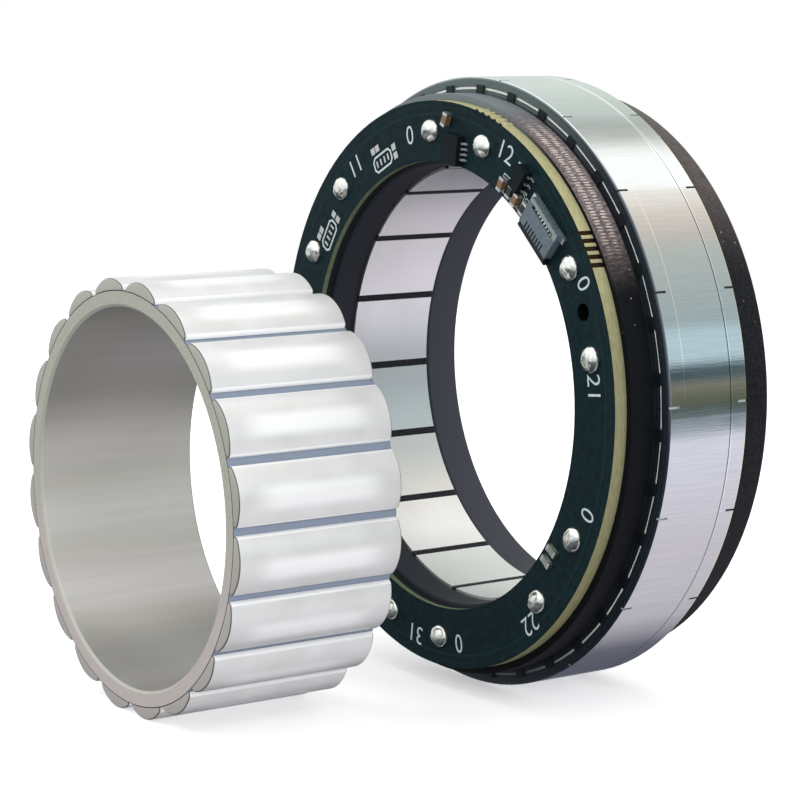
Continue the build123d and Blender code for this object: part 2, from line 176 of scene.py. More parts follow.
@dataclass(frozen=True)
class GrainedFinish(Finish):
    """A finish whose colour, gloss and relief wander a little, as on any moulded, cast or plated surface."""

    dark: str = "#000000"
    grain: float = 0.5
    spread: float = 0.05
    relief: float = 0.005

    def pattern(self, tree: bpy.types.NodeTree, place: bpy.types.NodeSocket) -> dict[str, Feed]:
        """Cloud the surface with noise of the real grain's size.

        Args:
            tree: the material's node tree.
            place: the Object coordinates, in metres.

        Returns:
            Colour, roughness and relief.
        """
        grain = add_node(tree, "ShaderNodeTexNoise", {
            "Vector": place, "Scale": 1 / (self.grain * MM), "Detail": 4.0})
        tone = add_node(tree, "ShaderNodeValToRGB", {"Fac": grain},
                        stops=((0.36, self.dark), (0.64, self.base)))
        bump = add_node(tree, "ShaderNodeBump", {"Height": grain, "Distance": self.relief * MM})
        return {"Base Color": tone, "Roughness": self.clouded(tree, grain, self.spread), "Normal": bump}


@dataclass(frozen=True)
class RingPlace:
    """Sockets for a point's place on a ring whose axis is parallel to Y: radius, height and clock angle."""

    radius: bpy.types.NodeSocket
    height: bpy.types.NodeSocket
    angle: bpy.types.NodeSocket

    @classmethod
    def about(cls, tree: bpy.types.NodeTree, place: bpy.types.NodeSocket, axis: Vector) -> "RingPlace":
        """Work the place out from Object coordinates.

        Args:
            tree: the material's node tree.
            place: the Object coordinates, in metres.
            axis: a point on the ring's axis, in millimetres.

        Returns:
            Radius and height in millimetres, and the clock angle in degrees, -180 to 180.
        """
        centred = add_node(tree, "ShaderNodeMapping", {
            "Vector": place, "Location": -axis, "Scale": (1 / MM,) * 3})
        parts = add_node(tree, "ShaderNodeSeparateXYZ", {0: centred})
        x, y, z = (parts.outputs[i] for i in range(3))
        flat = add_node(tree, "ShaderNodeCombineXYZ", {0: x, 2: z})
        radius = add_node(tree, "ShaderNodeVectorMath", {0: flat}, operation="LENGTH").outputs["Value"]
        turn = add_node(tree, "ShaderNodeMath", {0: x, 1: z}, operation="ARCTAN2")
        angle = add_node(tree, "ShaderNodeMath", {0: turn}, operation="DEGREES").outputs[0]
        return cls(radius, y, angle)


def band(tree: bpy.types.NodeTree, value: bpy.types.NodeSocket, middle: float, half: float,
         soft: float) -> bpy.types.Node:
    """Mark where a value lies within a band, from 1 inside it to 0 past its soft edge.

    Args:
        tree: the material's node tree.
        value: the socket to test.
        middle: the band's middle.
        half: half of its width.
        soft: the width of its soft edge.

    Returns:
        The node whose first output is the mark.
    """
    off = add_node(tree, "ShaderNodeMath", {0: value, 1: middle}, operation="SUBTRACT")
    size = add_node(tree, "ShaderNodeMath", {0: off}, operation="ABSOLUTE")
    return add_node(tree, "ShaderNodeMapRange", {
        "Value": size, "From Min": half, "From Max": half + soft, "To Min": 1.0, "To Max": 0.0},
        interpolation_type="SMOOTHSTEP")


def meeting(tree: bpy.types.NodeTree, mark: Feed, *others: Feed) -> Feed:
    """Mark where several marks meet.

    Args:
        tree: the material's node tree.
        mark: the first mark, which is 1 inside and 0 outside.
        others: the other marks.

    Returns:
        The mark of the place that all of them share.
    """
    for other in others:
        mark = add_node(tree, "ShaderNodeMath", {0: mark, 1: other}, operation="MULTIPLY")
    return mark


def layered(tree: bpy.types.NodeTree, under: Paint, *layers: tuple[Feed, Paint],
            kind: str = "MIX") -> bpy.types.NodeSocket:
    """Lay colours over a colour, each where its own mark is.

    Args:
        tree: the material's node tree.
        under: the lowest colour, as a hex code, a node or a socket.
        layers: marks with the colours that they let show, from the lowest up.
        kind: how a layer mixes with what is under it.

    Returns:
        The socket of the colour that shows.
    """
    for mark, over in layers:
        low, high = [linear(paint) if isinstance(paint, str) else paint for paint in (under, over)]
        under = add_node(tree, "ShaderNodeMix", {0: mark, 6: low, 7: high}, data_type="RGBA",
                         blend_type=kind).outputs[2]
    return under


def by_zone(tree: bpy.types.NodeTree, value: bpy.types.NodeSocket, colour: Paint,
            *zones: tuple[float, Paint]) -> bpy.types.NodeSocket:
    """Give each stretch of a value its own colour, with a sharp edge between them.

    Args:
        tree: the material's node tree.
        value: the socket that the stretches are measured on.
        colour: what shows below the first limit.
        zones: limits in rising order, each with the colour beyond it.

    Returns:
        The socket of the colour that shows.
    """
    for limit, further in zones:
        past = add_node(tree, "ShaderNodeMath", {0: value, 1: limit}, operation="GREATER_THAN")
        colour = layered(tree, colour, (past, further))
    return colour


def lit_from_above(tree: bpy.types.NodeTree, ring: RingPlace, under: Paint, lit_tone: str,
           reach: float) -> bpy.types.NodeSocket:
    """Lay painted light over the upper side of a dark ring, paler towards the top.

    Args:
        tree: the material's node tree.
        ring: the point's place on the ring.
        under: the colour without the painted light.
        lit_tone: the painted light's colour at the top, as a hex code.
        reach: how far from the top the painted light reaches, in degrees.

    Returns:
        The dusted colour's socket.
    """
    return layered(tree, under, (band(tree, ring.angle, 0.0, 14.0, reach), lit_tone))


# Finishes


@dataclass(frozen=True)
class GroundStack(Finish):
    """Electrical steel laminations: ground outside, punched inside, filmed with resin on the end faces."""

    tooth: str = "#F2F3F1"
    film: str = "#1D2731"
    notch_shade: str = "#34373A"
    ground_radius: float = 34.88
    tooth_radii: tuple[float, float] = (25.4, 25.2)
    window_radius: float = 33.74
    ground_half: float = 5.2
    stack_half: float = 5.3
    # Painted highlights and painted shade: a scribed line white at the top and dark further round, bright
    # glints, and a highlight on the rear edge.
    # Lines round the ground outside: height, half width and soft edge, then middle, half and fade of the arc.
    scribe_highlights_and_shade: tuple[tuple[float, float, float, float, float, float, str], ...] = (
        (3.05, 0.14, 0.16, 15.0, 22.0, 20.0, "#FFFFFF"), (3.05, 0.035, 0.05, 78.0, 36.0, 14.0, "#565D60"),
        (3.22, 0.03, 0.06, 76.0, 24.0, 20.0, "#F2F4F2"), (-3.3, 0.03, 0.06, 68.0, 12.0, 10.0, "#FBF8F0"),
        (3.05, 0.035, 0.05, 144.0, 20.0, 8.0, "#4E4E55"), (5.16, 0.04, 0.02, 74.0, 52.0, 16.0, "#F6F0CE"))

    def pattern(self, tree: bpy.types.NodeTree, place: bpy.types.NodeSocket) -> dict[str, Feed]:
        """Grinding marks along the axis, scribed lines and edges with painted highlights and shade, and faint
        laminations on the teeth.

        Args:
            tree: the material's node tree.
            place: the Object coordinates, in metres.

        Returns:
            Colour, metal, roughness and relief.
        """
        ring = RingPlace.about(tree, place, Vector())
        # A ground steel surface mixes its reflections across the marks: 0.1 mm apart, some 5 mm long.
        along = add_node(tree, "ShaderNodeMapping", {"Vector": place, "Scale": (1.0, 0.02, 1.0)})
        marks = add_node(tree, "ShaderNodeTexNoise", {
            "Vector": along, "Scale": 1 / (0.11 * MM), "Detail": 3.0})
        tone = add_node(tree, "ShaderNodeValToRGB", {"Fac": marks},
                        stops=((0.3, "#D0D4D3"), (0.7, self.base)))
        # The lines lay their painted highlights and shade over the ground tone.
        ground = layered(tree, tone, *[
            (meeting(tree, band(tree, ring.height, height, width, soft),
                     band(tree, ring.angle, middle, half, fade)), tint)
            for height, width, soft, middle, half, fade, tint in self.scribe_highlights_and_shade])
        # Painted highlight and shade on the chamfered edges: pale near the top, dark further round.
        chamfer_light_and_shade = layered(tree, "#70777D", (band(tree, ring.angle, 16.0, 18.0, 18.0), "#C9D0D0"))
        ground = layered(tree, chamfer_light_and_shade, (band(tree, ring.height, 0.0, self.ground_half, 0.02), ground))
        # Laminations 0.35 mm thick show as faint lines on the teeth. A wave's period is 0.314 / scale.
        sheets = add_node(tree, "ShaderNodeTexWave", {
            "Vector": place, "Scale": 0.314 / (0.35 * MM), "Distortion": 0.2, "Detail": 0.0},
            bands_direction="Y")
        punched = layered(tree, "#EBECEA", (sheets, self.tooth))
        # Painted shade darkens the key notches near 58 degrees, and near 118 degrees behind; elsewhere they
        # are painted pale, as light.
        behind = add_node(tree, "ShaderNodeMath", {0: ring.height, 1: 0.0}, operation="GREATER_THAN")
        notch_light_and_shade = layered(tree, "#BCC4C4", (band(tree, ring.angle, 58.0, 14.0, 2.0), self.notch_shade),
                        (meeting(tree, band(tree, ring.angle, 118.0, 14.0, 2.0), behind), self.notch_shade))
        # Painted light: the end faces are paler towards the top.
        face = lit_from_above(tree, ring, self.film, "#566464", 34.0)
        plain = layered(tree, face, (band(tree, ring.height, 0.0, self.stack_half, 0.02), notch_light_and_shade))
        # Painted highlight: the front face shows bright through the windows of the rim, and painted shade
        # darkens them at the lower left.
        lit = layered(tree, "#5D5E60", (band(tree, ring.angle, 40.0, 86.0, 36.0), "#FFFFF6"))
        teeth = add_node(tree, "ShaderNodeMapRange", {
            "Value": ring.radius, "From Min": self.tooth_radii[0], "From Max": self.tooth_radii[1]})
        outside = add_node(tree, "ShaderNodeMath", {0: ring.radius, 1: self.ground_radius},
                           operation="GREATER_THAN")
        surface = layered(tree, plain, (teeth, punched), (outside, ground),
                          (band(tree, ring.radius, self.window_radius, 0.11, 0.03), lit))
        bare = add_node(tree, "ShaderNodeMath", {0: outside, 1: teeth}, operation="MAXIMUM")
        metal = add_node(tree, "ShaderNodeMapRange", {"Value": bare, "To Min": 0.0, "To Max": self.metallic})
        cloud = add_node(tree, "ShaderNodeTexNoise", {"Vector": place, "Scale": 1 / (6 * MM), "Detail": 2.0})
        dull = add_node(tree, "ShaderNodeMath", {0: teeth, 1: 0.33}, operation="MULTIPLY")
        gloss = add_node(tree, "ShaderNodeMath", {0: self.clouded(tree, cloud, 0.03), 1: dull},
                         operation="ADD")
        bump = add_node(tree, "ShaderNodeBump", {"Height": marks, "Distance": 0.003 * MM})
        return {"Base Color": surface, "Metallic": metal, "Roughness": gloss, "Normal": bump}


@dataclass(frozen=True)
class NickelPlating(Finish):
    """Bright nickel over ground magnets: milky and soft, with a painted highlight on each crown."""

    crown_half: float = 9.92
    plated_half: float = 10.03

    def pattern(self, tree: bpy.types.NodeTree, place: bpy.types.NodeSocket) -> dict[str, Feed]:
        """A lens-shaped painted highlight in the middle of every magnet, over a faint milky cloud.

        Args:
            tree: the material's node tree.
            place: the Object coordinates, in metres.

        Returns:
            Colour and roughness.
        """
        ring = RingPlace.about(tree, place, ROTOR_AXIS)
        shifted = add_node(tree, "ShaderNodeMath", {
            0: ring.angle, 1: 360.0 - FIRST_MAGNET + MAGNET_PITCH / 2}, operation="ADD")
        within = add_node(tree, "ShaderNodeMath", {0: shifted, 1: MAGNET_PITCH}, operation="MODULO")
        across = add_node(tree, "ShaderNodeMapRange", {
            "Value": within, "From Min": 0.0, "From Max": MAGNET_PITCH,
            "To Min": -1.0, "To Max": 1.0}).outputs[0]
        # The painted highlight is a lens some 10 mm long and 1 mm wide, and fades out over 4 mm and 1.3 mm.
        lens = meeting(tree, band(tree, across, 0.12, 0.12, 0.34),
                       band(tree, ring.height, ROTOR_MIDDLE, 4.8, 4.2))
        cloud = add_node(tree, "ShaderNodeTexNoise", {"Vector": place, "Scale": 1 / (4 * MM), "Detail": 2.0})
        milky = add_node(tree, "ShaderNodeValToRGB", {"Fac": cloud},
                         stops=((0.3, "#DFDFDE"), (0.7, self.base)))
        # The painted highlight goes white over the milky cloud.
        crown = layered(tree, milky, (lens, "#FFFFFF"))
        # The long edges carry a painted highlight, and a fine dark line runs round the rounded edge before
        # the cut ends.
        crown = layered(tree, "#FFFFFF", (band(tree, across, 0.0, 0.80, 0.03), crown))
        plated = layered(tree, "#5F6461", (
            band(tree, ring.height, ROTOR_MIDDLE, self.crown_half, 0.02), crown))
        # The cut ends are duller, with painted reflection tints: a trace green above, and a trace pink below.
        cut = layered(tree, "#BAB5B1", (band(tree, ring.angle, 0.0, 80.0, 40.0), "#ACAEA3"))
        surface = layered(tree, cut, (
            band(tree, ring.height, ROTOR_MIDDLE, self.plated_half, 0.02), plated))
        return {"Base Color": surface, "Roughness": self.clouded(tree, cloud, 0.03)}


@dataclass(frozen=True)
class TurnedRing(Finish):
    """The rotor's steel sleeve: satin honed bore, turned faces, and blue-grey bond under the magnets."""

    bore_radius: float = 21.25
    lead_in_radius: float = 21.36
    bond_radius: float = 22.93
    bond_half: float = 10.05

    def pattern(self, tree: bpy.types.NodeTree, place: bpy.types.NodeSocket) -> dict[str, Feed]:
        """Colour by radius, with honing streaks along the bore.

        Args:
            tree: the material's node tree.
            place: the Object coordinates, in metres.

        Returns:
            Colour, metal, roughness and relief.
        """
        ring = RingPlace.about(tree, place, ROTOR_AXIS)
        # The streaks are 0.8 mm apart and some 27 mm long, longer than the bore, in swathes of 9 mm.
        along = add_node(tree, "ShaderNodeMapping", {"Vector": place, "Scale": (1.0, 0.03, 1.0)})
        streaks = add_node(tree, "ShaderNodeTexNoise", {
            "Vector": along, "Scale": 1 / (0.8 * MM), "Detail": 2.0})
        swathes = add_node(tree, "ShaderNodeTexNoise", {
            "Vector": along, "Scale": 1 / (9 * MM), "Detail": 0.0})
        fine = add_node(tree, "ShaderNodeValToRGB", {"Fac": streaks},
                        stops=((0.3, "#ECEAE7"), (0.7, "#F3F1EE")))
        wide = add_node(tree, "ShaderNodeValToRGB", {"Fac": swathes},
                        stops=((0.35, "#E8E8E4"), (0.65, "#FFFFFF")))
        honed = layered(tree, fine, (1.0, wide), kind="MULTIPLY")
        # Painted shade: the top and the bottom of the bore are darker than the rest.
        dark = layered(tree, honed, (1.0, "#B1B1B0"), kind="MULTIPLY")
        bore = layered(tree, honed, (band(tree, ring.angle, -30.0, 24.0, 46.0), dark))
        bore = layered(tree, dark, (band(tree, ring.angle, 0.0, 130.0, 32.0), bore))
        # Painted reflection tints: the turned faces are a trace green above, and a trace pink below.
        grain = add_node(tree, "ShaderNodeTexNoise", {
            "Vector": place, "Scale": 1 / (0.25 * MM), "Detail": 3.0})
        green, pink = [
            add_node(tree, "ShaderNodeValToRGB", {"Fac": grain}, stops=((0.3, low), (0.7, high)))
            for low, high in (("#A6A69A", self.base), ("#BAB1AE", "#C8C0BD"))]
        faces = layered(tree, pink, (band(tree, ring.angle, 0.0, 80.0, 40.0), green))
        # The bond is blue-grey between the magnets and a thin dark line at the ends.
        glue = layered(tree, "#363A42", (
            band(tree, ring.height, ROTOR_MIDDLE, self.bond_half, 0.02), "#8A97A9"))
        inside = add_node(tree, "ShaderNodeMath", {0: ring.radius, 1: self.bore_radius},
                          operation="LESS_THAN")
        bond = add_node(tree, "ShaderNodeMath", {0: ring.radius, 1: self.bond_radius},
                        operation="GREATER_THAN")
        surface = layered(tree, faces, (inside, bore),
                          (band(tree, ring.radius, self.lead_in_radius, 0.11, 0.02), "#BEBEB4"), (bond, glue))
        metal = add_node(tree, "ShaderNodeMapRange", {"Value": bond, "To Min": self.metallic, "To Max": 0.1})
        gloss = add_node(tree, "ShaderNodeMapRange", {
            "Value": inside, "To Min": 0.5, "To Max": self.roughness})
        bump = add_node(tree, "ShaderNodeBump", {"Height": streaks, "Distance": 0.001 * MM})
        return {"Base Color": surface, "Metallic": metal, "Roughness": gloss, "Normal": bump}


@dataclass(frozen=True)
class CastPotting(Finish):
    """Black filled epoxy, cast: near black, with a painted pinkish sheen, painted light on top, and light
    filler specks.
    """

    crest_highlight: str = "#D2C6C0"
    lit_tone: str = "#94888A"
    painted_sheen: str = "#685D5A"
    sheen_middle: float = 41.0
    sheen_half: float = 9.0
    sheen_soft: float = 18.0
    face_top_light: str = "#737B7F"
    bore: str = "#30323B"
    bore_radius: float = 26.0
    top_light_radius: float = 32.0
    wall_radius: float = 32.75
    crest_highlight_radii: tuple[float, float] = (33.21, 33.28)

    def pattern(self, tree: bpy.types.NodeTree, place: bpy.types.NodeSocket) -> dict[str, Feed]:
        """Grain of filler, a painted sheen over one stretch of the wall with painted highlights on its ribs,
        and scattered specks.

        Args:
            tree: the material's node tree.
            place: the Object coordinates, in metres.

        Returns:
            Colour and relief.
        """
        ring = RingPlace.about(tree, place, Vector())
        grain = add_node(tree, "ShaderNodeTexNoise", {
            "Vector": place, "Scale": 1 / (0.3 * MM), "Detail": 5.0})
        black = add_node(tree, "ShaderNodeValToRGB", {"Fac": grain},
                         stops=((0.35, "#0B0D10"), (0.65, self.base)))
        # The mould's grain runs along the axis: furrows some 0.3 mm apart, broken every 0.75 mm.
        along = add_node(tree, "ShaderNodeMapping", {"Vector": place, "Scale": (1.0, 0.4, 1.0)})
        furrows = add_node(tree, "ShaderNodeTexNoise", {
            "Vector": along, "Scale": 1 / (0.3 * MM), "Detail": 2.0})
        # The furrows carry the painted sheen's darker and lighter tones.
        furrowed_sheen = add_node(tree, "ShaderNodeValToRGB", {"Fac": furrows},
                       stops=((0.35, self.painted_sheen), (0.65, self.lit_tone)))
        # Painted highlight on the crests of the ribs, lighter than their valleys.
        crest_highlight_mask = add_node(tree, "ShaderNodeMapRange", {
            "Value": ring.radius, "From Min": self.crest_highlight_radii[0], "From Max": self.crest_highlight_radii[1]})
        furrowed_sheen = layered(tree, furrowed_sheen, (crest_highlight_mask, self.crest_highlight))
        wall = add_node(tree, "ShaderNodeMath", {0: ring.radius, 1: self.wall_radius},
                        operation="GREATER_THAN")
        # Painted sheen: the furrowed tones cover one stretch of the wall, broken up by the grain.
        sheen_grain = add_node(tree, "ShaderNodeMapRange", {
            "Value": grain, "From Min": 0.35, "From Max": 0.6, "To Min": 0.7, "To Max": 1.0})
        painted_sheen = meeting(tree, band(tree, ring.angle, self.sheen_middle, self.sheen_half, self.sheen_soft),
                        wall, sheen_grain)
        # Filler grains some 0.2 mm across, about one in every ten square millimetres.
        cells = add_node(tree, "ShaderNodeTexVoronoi", {"Vector": place, "Scale": 1 / (1.3 * MM)})
        speck = add_node(tree, "ShaderNodeMapRange", {
            "Value": cells.outputs["Distance"], "From Min": 0.05, "From Max": 0.09,
            "To Min": 1.0, "To Max": 0.0})
        # The specks are painted only near the sheen's stretch, as glints.
        specks = meeting(tree, speck, band(tree, ring.angle, 46.0, 20.0, 12.0), wall)
        # Painted light: the outer part of the ring is paler towards the top.
        face_top_lit = lit_from_above(tree, ring, black, self.face_top_light, 26.0)
        surface = layered(tree, by_zone(tree, ring.radius, black, (self.top_light_radius, face_top_lit)),
                          (painted_sheen, furrowed_sheen), (specks, "#A39C98"))
        surface = by_zone(tree, ring.radius, self.bore, (self.bore_radius, surface))
        bump = add_node(tree, "ShaderNodeBump", {"Height": grain, "Distance": 0.03 * MM})
        return {"Base Color": surface, "Normal": bump}


@dataclass(frozen=True)
class CircuitBoard(Finish):
    """Glass epoxy board: dark green-black solder mask on both faces, bare cream laminate on the edges."""

    middle: float = -9.8
    edge_half: float = 0.77
    wetted_height: float = -9.95
    # Where the bore's edge, the peg's hole and the notches end, by radius.
    bore_radius: float = 27.0
    hole_radius: float = 31.0
    notch_radius: float = 32.33
    # Copper rings under the mask: radius, half width, soft edge and colour.
    copper: tuple[tuple[float, float, float, str], ...] = (
        (30.9, 0.10, 0.06, "#192D32"), (31.75, 0.06, 0.05, "#18292E"), (26.25, 0.06, 0.05, "#18292E"))

    def pattern(self, tree: bpy.types.NodeTree, place: bpy.types.NodeSocket) -> dict[str, Feed]:
        """Mask over the faces with faint copper rings under it, and layered laminate on the edges.

        Args:
            tree: the material's node tree.
            place: the Object coordinates, in metres.

        Returns:
            Colour, roughness and relief.
        """
        ring = RingPlace.about(tree, place, Vector())
        grain = add_node(tree, "ShaderNodeTexNoise", {
            "Vector": place, "Scale": 1 / (0.8 * MM), "Detail": 3.0})
        mask = add_node(tree, "ShaderNodeValToRGB", {"Fac": grain},
                        stops=((0.35, "#112023"), (0.65, self.base)))
        faces = layered(tree, mask, *[(band(tree, ring.radius, radius, half, soft), tint)
                                      for radius, half, soft, tint in self.copper])
        # The laminate's glass shows as fine threads 0.25 mm apart, flattened into its layers.
        flat = add_node(tree, "ShaderNodeMapping", {"Vector": place, "Scale": (0.25, 2.0, 0.25)})
        weave = add_node(tree, "ShaderNodeTexNoise", {
            "Vector": flat, "Scale": 1 / (0.25 * MM), "Detail": 3.0})
        pale, shaded_lower_edge, shaded = [
            add_node(tree, "ShaderNodeValToRGB", {"Fac": weave}, stops=((0.3, low), (0.7, high)))
            for low, high in (("#A3A078", "#C0BD94"), ("#858362", "#9C9A77"), ("#5E6B55", "#7C8869"))]
        # Painted light and shade on the outer edge: paler near the top, darker further round.
        outer = layered(tree, shaded_lower_edge, (band(tree, ring.angle, 8.0, 40.0, 34.0), pale))
        # The bore's edge is bare at the front and wetted by the resin behind; the holes and notches carry
        # painted shade.
        inner = by_zone(tree, ring.height, shaded, (self.wetted_height, "#23282C"))
        edge = by_zone(tree, ring.radius, inner, (self.bore_radius, "#0B0D0F"),
                       (self.hole_radius, "#33281A"), (self.notch_radius, outer))
        sides = band(tree, ring.height, self.middle, self.edge_half, 0.005)
        surface = layered(tree, faces, (sides, edge))
        gloss = add_node(tree, "ShaderNodeMapRange", {
            "Value": sides, "To Min": self.roughness, "To Max": 0.75})
        bump = add_node(tree, "ShaderNodeBump", {"Height": grain, "Distance": 0.006 * MM})
        return {"Base Color": surface, "Roughness": gloss, "Normal": bump}


@dataclass(frozen=True)
class MouldedRim(GrainedFinish):
    """Glass-filled nylon of the end insulators: dark blue-grey, with painted light on top, and darker lugs on
    its rim.
    """

    lit_tone: str = "#5A6868"
    lug: str = "#10171B"
    rim_radius: float = 33.0
    lug_height: float = -5.64

    def pattern(self, tree: bpy.types.NodeTree, place: bpy.types.NodeSocket) -> dict[str, Feed]:
        """The grain of the moulding under painted light from above, and the lugs that stand off the rim's
        face.

        Args:
            tree: the material's node tree.
            place: the Object coordinates, in metres.

        Returns:
            Colour, roughness and relief.
        """
        feeds = super().pattern(tree, place)
        ring = RingPlace.about(tree, place, Vector())
        plain = feeds["Base Color"]
        # Painted light: the rim's face is paler towards the top.
        rim = by_zone(tree, ring.radius, plain, (self.rim_radius, lit_from_above(tree, ring, plain, self.lit_tone, 36.0)))
        feeds["Base Color"] = by_zone(tree, ring.height, self.lug, (self.lug_height, rim))
        return feeds


@dataclass(frozen=True)
class RibbonHousing(GrainedFinish):
    """Liquid crystal polymer of the ribbon connector: dull grey, paler on the bar outside its slot."""

    bar: str = "#85928E"
    bar_radius: float = 29.25
    bar_height: float = 0.95

    def pattern(self, tree: bpy.types.NodeTree, place: bpy.types.NodeSocket) -> dict[str, Feed]:
        """The grain of the moulding, with the pale bar over it.

        Args:
            tree: the material's node tree.
            place: the Object coordinates, in metres.

        Returns:
            Colour, roughness and relief.
        """
        feeds = super().pattern(tree, place)
        ring = RingPlace.about(tree, place, Vector())
        plain = feeds["Base Color"]
        # Heights grow towards the back, so the bar's top lies below this limit.
        top = by_zone(tree, ring.height, self.bar, (BOARD_FACE - self.bar_height, plain))
        feeds["Base Color"] = by_zone(tree, ring.radius, plain, (self.bar_radius, top))
        return feeds


class Finishes(Enum):
    """Every finish on the motor."""

    # Ground electrical steel: bright, streaked along the axis, a trace green in daylight.
    STACK = GroundStack("ground_electrical_steel", "stack_steel", "#DCE0DF", metallic=1.0, roughness=0.12)
    # Nickel on ground magnets: milky white, softer than chrome.
    MAGNET = NickelPlating("nickel_plated_magnet", "magnet_plating", "#E9E9E9", metallic=0.15, roughness=0.36)
    # Turned and honed mild steel: satin grey.
    RING = TurnedRing("turned_mild_steel", "rotor_steel", "#BBBBAF", metallic=0.12, roughness=0.32)
    # Filled epoxy: almost black, with a painted sheen over one stretch of its wall.
    POTTING = CastPotting("black_epoxy_potting", "potting_resin", "#0F1217", roughness=0.55, gloss_level=0.12)
    REAR_POTTING = CastPotting(
        "rear_epoxy_potting", "potting_resin", "#202127", roughness=0.55, gloss_level=0.15, painted_sheen="#544D4B",
        lit_tone="#625B58", crest_highlight="#625B58", sheen_middle=32.0, sheen_half=8.0, sheen_soft=26.0, bore="#43454E")
    # Solder mask on glass epoxy: near black with a green cast, and a cream edge.
    BOARD = CircuitBoard("masked_glass_epoxy", "board_laminate", "#102A2F", roughness=0.45, gloss_level=0.06)
    # Screen ink: a flat, faintly broken white.
    INK = GrainedFinish("white_screen_ink", "board_laminate", "#D3DFE2", roughness=0.6, dark="#AEBFC4",
                        grain=0.15, relief=0.0)
    # Glass-filled nylon: dark blue-grey, matt and faintly clouded.
    INSULATOR = MouldedRim("glass_filled_nylon", "insulator_plastic", "#1F2932", roughness=0.5,
                           gloss_level=0.35, dark="#172029", grain=0.25, relief=0.008)
    # Glass epoxy strip: dull grey-black at the mouths of the slots.
    WEDGE = GrainedFinish("glass_epoxy_wedge", "wedge_plastic", "#2B2C31", roughness=0.6, gloss_level=0.2,
                          dark="#121316", grain=0.3, relief=0.01)
    # Polyester-imide enamel: clear amber over copper.
    WIRE = GrainedFinish("enamelled_copper_wire", "enamelled_wire", "#B5662A", metallic=0.7, roughness=0.35,
                         coat=0.5, dark="#8A4518", grain=0.4, relief=0.02)
    # Tin solder: bright metal that looks wet, with a lumpy skin.
    SOLDER = GrainedFinish("tin_solder", "solder", "#FBFDF6", metallic=1.0, roughness=0.16, dark="#D2D5CE",
                           grain=0.5, spread=0.06, relief=0.05)
    # Matt tin over copper: soft white metal.
    TIN = GrainedFinish("matt_tin_plating", "tinned_metal", "#E6E8E6", metallic=0.9, roughness=0.3,
                        dark="#C4C7C6", grain=0.2, relief=0.01)
    # Moulding resin: flat blue-black.
    CHIP = GrainedFinish("black_moulding_resin", "chip_resin", "#131C22", roughness=0.6, gloss_level=0.12,
                         dark="#0D1519", grain=0.12, relief=0.006)
    # Titanate ceramic: warm tan, half matt.
    CAPACITOR = GrainedFinish("tan_capacitor_ceramic", "capacitor_ceramic", "#8A6A4C", roughness=0.45,
                              dark="#6A4E36", grain=0.2, relief=0.004)
    # Glazed resistor: black and slightly glassy.
    RESISTOR = GrainedFinish("black_glazed_resistor", "resistor_ceramic", "#1C1C1E", roughness=0.35,
                             dark="#101012", grain=0.2, relief=0.004)
    # Metal oxide ceramic: pale grey, unglazed.
    THERMISTOR = GrainedFinish("grey_oxide_ceramic", "resistor_ceramic", "#9A9E97", roughness=0.5,
                               dark="#6C716A", grain=0.25, relief=0.006)
    # Liquid crystal polymer: dull cool grey.
    CONNECTOR = RibbonHousing("grey_crystal_polymer", "connector_plastic", "#65747D", roughness=0.5,
                              gloss_level=0.35, dark="#55646D", grain=0.3, relief=0.006)
    # Moulded nylon: plain black, half matt.
    LEVER = GrainedFinish("black_nylon_lever", "lever_plastic", "#15171A", roughness=0.5, gloss_level=0.3,
                          dark="#0E0F11", grain=0.2, relief=0.006)


# Shape tools


def on_ring(angle: float, radius: float, height: float, turn: float = 0.0) -> Matrix:
    """Place a shape that faces the board's side: X runs clockwise, Y outwards and Z off the face.

    Args:
        angle: clock angle in degrees.
        radius: distance from the stator's axis in millimetres.
        height: place along the stator's axis in millimetres.
        turn: turn about the shape's own Z, in degrees, from X towards Y.

    Returns:
        The placement matrix, in millimetres.
    """
    clock = math.radians(angle)
    outward = Vector((math.sin(clock), 0.0, math.cos(clock)))
    along = Vector((math.cos(clock), 0.0, -math.sin(clock)))
    place = Matrix((along, outward, Vector((0.0, -1.0, 0.0)))).transposed().to_4x4()
    place.translation = outward * radius + Vector((0.0, height, 0.0))
    return place @ Matrix.Rotation(math.radians(turn), 4, "Z")


def gather(target: bmesh.types.BMesh, part: bmesh.types.BMesh, place: Matrix) -> None:
    """Add a shape to another.

    Args:
        target: the shape that grows.
        part: the shape to add, which is freed.
        place: where it goes.
    """
    part.transform(place)
    carrier = bpy.data.meshes.new("carrier")
    part.to_mesh(carrier)
    part.free()
    target.from_mesh(carrier)
    bpy.data.meshes.remove(carrier)


def round_edges(shape: bmesh.types.BMesh, edges: Iterable[bmesh.types.BMEdge], size: float,
                segments: int) -> None:
    """Bevel edges to a round of a given size."""
    bmesh.ops.bevel(shape, geom=list(edges), offset=size, offset_type="OFFSET", segments=segments,
                    profile=0.5, affect="EDGES", material=-1, clamp_overlap=True)


def shade(shape: bmesh.types.BMesh, limit: float) -> None:
    """Smooth the faces and keep sharp edges sharp.

    Args:
        shape: the shape.
        limit: edges that turn by more than this, in degrees, stay sharp.
    """
    for face in shape.faces:
        face.smooth = True
    for edge in shape.edges:
        edge.smooth = len(edge.link_faces) == 2 and edge.calc_face_angle(0.0) < math.radians(limit)


